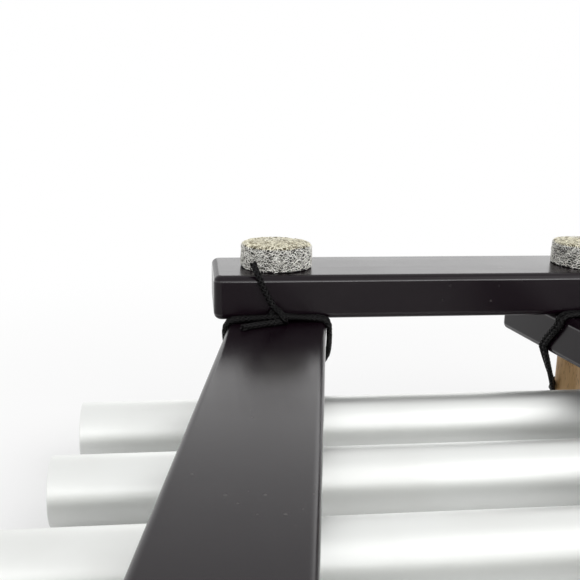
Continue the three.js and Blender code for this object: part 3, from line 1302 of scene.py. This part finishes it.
@dataclass
class Suspension:
    """The doubled cord under each rail: through the tubes, and in a loop round the post at each end."""

    layout: Layout
    braid: Braid
    strand_gap: float = 0.3 * MM
    hole_clearance: float = 1.0 * MM
    loop_steps: int = 16
    tubes: int = 8

    def place(self, side: Side, y: float, aside: float = 0.0, ahead: float = 0.0,
              drop: float = 0.0) -> Vector:
        """A point near the cord's straight line.

        Args:
            side: the rail it runs under.
            y: where along the frame.
            aside: how far level and square to the line.
            ahead: how far along it from there, towards the far end.
            drop: how far below the tubes' middles.

        Returns:
            The point.
        """
        way = self.layout.rail_way(side)
        level = self.layout.middle("tube_1").z
        start = Vector((side.value * self.layout.rail_x(y), y, level - drop))
        return start + Vector((way.y, -way.x, 0)) * aside + way * ahead

    @property
    def strand(self) -> float:
        """How far each of the two strands lies from their middle."""
        return (self.layout.cord_size + self.strand_gap) / 2

    def loop(self, side: Side, end: End, row: float, reach: float) -> list[Vector]:
        """The strand that leaves a tube, goes round the back of a post and comes home again.

        Args:
            side: the rail it runs under.
            end: the end of the frame.
            row: where the tube lies.
            reach: how far from the tube's middle the strands start to part.

        Returns:
            Points along the strand.
        """
        low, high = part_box(at_corner("end_post", end, side))
        post = (low.y + high.y) / 2
        wrap = (high.y - low.y) / 2 + self.layout.cord_size / 2
        turns = [math.pi * i / self.loop_steps for i in range(self.loop_steps + 1)]
        drop = self.layout.middle("tube_1").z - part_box("cord_left_1")[0].z - self.layout.cord_size / 2
        back = [self.place(side, post, wrap * math.cos(turn), end.value * wrap * math.sin(turn), drop)
                for turn in turns]
        out, home = ([self.place(side, y, aside) for y in (row, row + end.value * reach)]
                     for aside in (self.strand, -self.strand))
        return [*out, *back, *reversed(home)]

    def runs(self, side: Side) -> Iterable[tuple[int, str, int, list[list[Vector]], float, float]]:
        """Lists the runs of cord under one rail: the loop at each end, then two halves between tubes.

        Args:
            side: the rail.

        Returns:
            Each run's node number, word, tube, paths, and where it leaves the frame's and the tube's hold.
        """
        boxes = [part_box(f"tube_{number}") for number in range(1, self.tubes + 1)]
        rows = [(low.y + high.y) / 2 for low, high in boxes]
        reach = (boxes[0][1].y - boxes[0][0].y) / 2 + self.hole_clearance
        for end, number, tube in ((End.FAR, 1, 1), (End.NEAR, self.tubes + 1, self.tubes)):
            low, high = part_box(at_corner("end_post", end, side))
            face = low.y if end is End.FAR else high.y
            row = rows[tube - 1]
            path = eased(self.loop(side, end, row, reach))
            yield number, "looped", tube, [path], face, row + end.value * reach
        for gap in range(1, self.tubes):
            halfway = (rows[gap - 1] + rows[gap]) / 2
            for tube, word, sign in ((gap, "start", -1), (gap + 1, "rest", 1)):
                row = rows[tube - 1]
                strands = [[self.place(side, y, aside) for y in (row, halfway)]
                           for aside in (-self.strand, self.strand)]
                yield gap + 1, word, tube, strands, halfway, row + sign * reach

    def dress(self) -> None:
        """Lays the cord from post to post, in one piece for each end loop and for each half between two
        tubes.
        """
        for side in Side:
            for number, word, tube, paths, held, carried in self.runs(side):
                node = f"cord_{side.word}_{number}"
                piece = Workbench.stand_in(node, word, self.braid.grow(node, paths), "black_cord")
                start, end = (tuple(self.place(side, y)) for y in (held, carried))
                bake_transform(piece)
                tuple(start)
                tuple(end)


@dataclass
class Lashings:
    """The doubled cord round each rail and its post, with its knot and its two cut tails."""

    layout: Layout
    braid: Braid
    edge_radius: float = 2.8 * MM
    first_lane: float = 0.45
    pitch: float = 2.5 * MM
    slant: float = 9 * MM
    sling_height: float = 17.8 * MM
    first_lift: float = 0.3 * MM
    next_lift: float = 0.6 * MM
    turns: int = 2
    wrap_steps: int = 8
    knot_spot: float = 1.2 * MM
    knot_reach: float = 6 * MM
    knot_lift: float = 1.5 * MM
    knot_shift: float = 1.5 * MM
    flare: float = 0.22

    def place(self, side: Side, end: End, u: float, v: float, z: float) -> Vector:
        """A point beside a corner of the frame.

        Args:
            side: left or right rail.
            end: far or near crossbeam.
            u: how far from the rail's middle towards the chime's middle.
            v: how far outwards from the crossbeam's inner face.
            z: its level.

        Returns:
            The point in the frame's axes.
        """
        lay = self.layout
        y = end.value * (lay.half_span + v)
        return Vector((side.value * (lay.rail_x(y) - u / math.cos(lay.splay)), y, z))

    def lane(self, turn: int) -> float:
        """Where a turn of the sling crosses the rail's face."""
        return -self.layout.cord_size * self.first_lane - turn * self.pitch

    def sling(self, end: End, post: float, inset: float) -> list[Triple]:
        """The sling's two turns round the rail and the post, beginning and ending in the knot.

        Args:
            end: far or near crossbeam.
            post: the post's radius.
            inset: the post's axis, outwards from the crossbeam's inner face.

        Returns:
            Points as u, v and level.
        """
        lay = self.layout
        thick = lay.cord_size / 2
        flat = lay.rail_width / 2 - self.edge_radius
        reach = self.edge_radius + thick
        level = lay.rail_top + thick
        upper, lower = lay.rail_top - self.edge_radius, lay.rail_floor + self.edge_radius

        def beside(way: int, turn: int) -> Triple:
            """A point on the rail's face, to one side of the knot."""
            lift = self.first_lift + self.next_lift * turn
            return self.knot_spot + way * self.knot_reach, self.lane(turn), level + lift

        def in_knot(turn: int) -> Triple:
            """A point where a turn passes through the knot."""
            return self.knot_spot, self.lane(turn) - self.knot_shift, level + self.knot_lift

        def round_edge(middle: float, across: float, angle: float) -> Triple:
            """A point round one of the rail's edges."""
            return flat + reach * math.cos(angle), across, middle + reach * math.sin(angle)

        route = [in_knot(0), beside(1, 0)]
        for turn in range(self.turns):
            bend = [math.pi / 2, math.pi / 3, math.pi / 6, 0.0]
            edges = [round_edge(upper, self.lane(turn), angle) for angle in bend]
            drop = self.slant - turn * self.pitch
            edges += [round_edge(lower, drop, angle) for angle in (0.0, -math.pi / 6)]
            wrap = []
            for step in range(self.wrap_steps + 1):
                angle = math.pi * step / self.wrap_steps
                past = (post + thick) * math.sin(angle)
                across = (post + thick) * math.cos(angle)
                turned = across * math.cos(lay.splay) - end.value * past * math.sin(lay.splay)
                wrap.append((turned, inset + past, self.sling_height - turn * self.pitch))
            route += [*edges, *wrap, *((-u, v, z) for u, v, z in reversed(edges))]
            route += [beside(-1, turn), in_knot(1)]
            if turn + 1 < self.turns:
                route.append(beside(1, turn + 1))
        return route

    def knot(self) -> list[list[Triple]]:
        """The cord that ties the sling: one end up the beam and round both strands, one end on the rail.

        Returns:
            The points of each end as u, v and level.
        """
        rail, top = self.layout.rail_top / MM, self.layout.beam_top / MM
        upper = [(-10.6, 1.7, top + 5.4), (-8.3, -0.8, top + 1.0), (-5.5, -1.5, top - 5.4),
                 (-1.7, -2.8, rail + 6.6), (0.9, -5.4, rail + 5.2), (2.7, -7.6, rail + 3.2),
                 (3.4, -7.0, rail + 1.4), (2.2, -4.0, rail + 1.2), (-0.2, -1.8, rail + 2.2),
                 (-1.9, -1.9, rail + 4.4), (-2.4, -2.9, rail + 2.8)]
        lower = [(2.6, -5.6, rail + 1.3), (1.6, -7.4, rail + 1.5), (-1.0, -8.4, rail + 1.35),
                 (-4.8, -9.4, rail + 1.2), (-10.3, -12.4, rail + 1.2), (-13.0, -14.4, rail + 1.25)]
        return [[(u * MM, v * MM, z * MM) for u, v, z in run] for run in (upper, lower)]

    def dress(self) -> None:
        """Ties the four lashings."""
        for end, side in CORNERS:
            node = at_corner("lashing", end, side)
            low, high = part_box(at_corner("end_post", end, side))
            inset = end.value * (low.y + high.y) / 2 - self.layout.half_span
            routes = [self.sling(end, (high.y - low.y) / 2, inset), *self.knot()]
            paths = [eased([self.place(side, end, *spot) for spot in route]) for route in routes]
            mesh = self.braid.grow(node, paths, self.flare)
            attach(Workbench.stand_in(node, "tied", mesh, "black_cord"), "frame")


@dataclass
class FrameScrews:
    """The four zinc-plated wood screws under the felt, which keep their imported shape."""

    def dress(self) -> None:
        """Plates the screws."""
        zinc = ZincSteel().material()
        for end, side in CORNERS:
            node = bpy.data.objects.get(at_corner("frame_screw", end, side))
            node.data.materials.clear()
            node.data.materials.append(zinc)


@dataclass(frozen=True)
class Softbox:
    """A soft rectangular lamp that looks at the chime's far end; the white surround has a radiance of 1."""

    name: str
    spot: Triple
    size: Span
    radiance: float
    aim: Triple = (0.0, 0.1, 0.05)

    def hang(self) -> None:
        """Hangs the lamp, unseen by the camera."""
        data = bpy.data.lights.new(self.name, "AREA")
        data.shape = "RECTANGLE"
        data.size, data.size_y = self.size
        data.energy = self.radiance * math.pi * self.size[0] * self.size[1]
        lamp = bpy.data.objects.new(self.name, data)
        bpy.context.scene.collection.objects.link(lamp)
        lamp.visible_camera = False
        lamp.location = self.spot
        way = Vector(self.aim) - Vector(self.spot)
        lamp.rotation_euler = way.to_track_quat("-Z", "Y").to_euler()


@dataclass
class Studio:
    """The camera of the photograph, a white table and soft light.

    The lamps are a low wall behind, a key at the right, and two windows and a low strip behind the camera.
    """

    spot: Triple = (-105.55 * MM, -144.41 * MM, 153.80 * MM)
    yaw: float = 0.1184
    pitch: float = 0.2481
    roll: float = 0.0183
    lens: float = 51.925
    sensor_width: float = 36.0
    nearest: float = 5 * MM
    floor_size: float = 6.0
    floor_colour: Colour = (0.90, 0.90, 0.90)
    floor_roughness: float = 0.55
    floor_grain: float = 40.0
    near_white: float = 0.8
    # Share of white glow that mirrored rays see in the painted light strip on the table.
    near_mirrored: float = 0.26
    under_shadow: float = 0.6
    under_across: Span = (0.12, 0.22)
    under_along: Span = (0.16, 0.24)
    # Where the painted light strip across the table fades in and fades out, along x.
    gap_opens: Span = (-0.16, -0.02)
    gap_shuts: Span = (0.0, 0.06)
    clear: Span = (0.30, 0.55)
    daylight: float = 0.78
    overhead: Span = (0.35, 0.7)
    dim_overhead: float = 0.06
    lamps: tuple[Softbox, ...] = (
        Softbox("back_wall", (0.75, 2.4, 0.56), (2.1, 1.05), 0.85),
        Softbox("key", (0.95, -0.75, 1.15), (1.1, 1.1), 1.2),
        Softbox("window", (0.62, -1.6, 0.66), (1.4, 0.95), 0.55),
        Softbox("room", (-0.62, -1.6, 0.66), (1.3, 0.7), 0.9),
        Softbox("strip", (0.75, -1.6, 0.19), (1.6, 0.28), 4.2),
    )

    def camera(self) -> None:
        """Stands the camera where the photograph was taken."""
        data = bpy.data.cameras.new("camera")
        data.lens = self.lens
        data.sensor_width = self.sensor_width
        data.clip_start = self.nearest
        camera = bpy.data.objects.new("camera", data)
        bpy.context.scene.collection.objects.link(camera)
        level = math.cos(self.pitch)
        ahead = Vector((math.sin(self.yaw) * level, math.cos(self.yaw) * level, -math.sin(self.pitch)))
        right = Vector((math.cos(self.yaw), -math.sin(self.yaw), 0))
        up = right.cross(ahead)
        rolled = right * math.cos(self.roll) + up * math.sin(self.roll)
        upright = up * math.cos(self.roll) - right * math.sin(self.roll)
        turn = Matrix((rolled, upright, -ahead)).transposed().to_4x4()
        camera.matrix_world = Matrix.Translation(self.spot) @ turn
        bpy.context.scene.camera = camera

    def floor(self) -> None:
        """Lays the white table, which fades to pure white for the camera away from the chime; a strip of it
        under the chime glows white for mirrored rays only, as painted light in the tubes' reflections.
        """
        half = self.floor_size / 2
        mesh = bpy.data.meshes.new("table")
        corners = [(-half, -half, 0), (half, -half, 0), (half, half, 0), (-half, half, 0)]
        mesh.from_pydata(corners, [], [(0, 1, 2, 3)])
        board = ShaderBoard("white_table")
        shine = board.noise(self.floor_grain, 3.0)
        board.finish(Base_Color=self.floor_colour, Roughness=self.floor_roughness + shine * 0.1)
        across, along = (board.axis(board.place, name) for name in ("X", "Y"))
        aside = across.call("ABSOLUTE").ramp(*self.under_across)
        under = (1.0 - aside) * (1.0 - along.ramp(*self.under_along))
        # Painted light: a strip of table across x glows white for mirrored rays only, to lighten the tubes'
        # undersides in their reflections.
        gap = across.ramp(*self.gap_opens) - across.ramp(*self.gap_shuts)
        seen, mirrored = board.rays()
        shown = self.near_white - under * self.under_shadow
        # Mirrored rays see the painted light strip as part white glow here.
        fade = seen * shown + mirrored * gap * self.near_mirrored
        far = board.vector("LENGTH", {0: board.place}, "Value")
        fade = fade + ((seen + mirrored) - fade) * far.ramp(*self.clear)
        white = board.out(board.make("ShaderNodeEmission", None, {"Color": (1, 1, 1, 1), "Strength": 1.0}))
        mix = board.make("ShaderNodeMixShader", None, {0: fade, 1: board.out(board.shader), 2: white})
        board.feed(board.output, {"Surface": board.out(mix)})
        Workbench.piece("table", mesh, board.material)

    def world(self) -> None:
        """Makes the white surround, dimmer overhead and as plain daylight than as a background."""
        world = bpy.data.worlds.new("surround")
        bpy.context.scene.world = world
        world.use_nodes = True
        board = NodeBoard(world.node_tree)
        board.tree.nodes.clear()
        seen, mirrored = board.rays()
        place = board.out(board.make("ShaderNodeTexCoord"), "Generated")
        ceiling = 1.0 - board.axis(place, "Z").ramp(*self.overhead) * self.dim_overhead
        strength = self.daylight + mirrored * (ceiling - self.daylight)
        strength = strength * (1.0 - seen) + seen
        sky = board.make("ShaderNodeBackground", None, {"Color": (1, 1, 1, 1), "Strength": strength})
        board.make("ShaderNodeOutputWorld", None, {"Surface": board.out(sky)})

    def set_up(self) -> None:
        """Sets up the camera, the surround, the lamps and the table."""
        self.camera()
        self.world()
        for lamp in self.lamps:
            lamp.hang()
        self.floor()


def main() -> None:
    """Builds the chime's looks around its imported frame."""
    logging.basicConfig(level=logging.INFO, format="%(message)s")
    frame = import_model()
    bpy.context.scene.view_settings.view_transform = "Standard"
    Studio().set_up()
    layout = Layout.read()
    braid = Braid(layout.cord_size)
    for part in (Lashings(layout, braid), Suspension(layout, braid), BattenFrame(layout), TubeSet(layout),
                 EndPosts(), FeltFeet(), FrameScrews()):
        part.dress()
        LOG.info("%s done on %d bodies", type(part).__name__, len(frame["bodies"]))


if __name__ == "__main__":
    main()
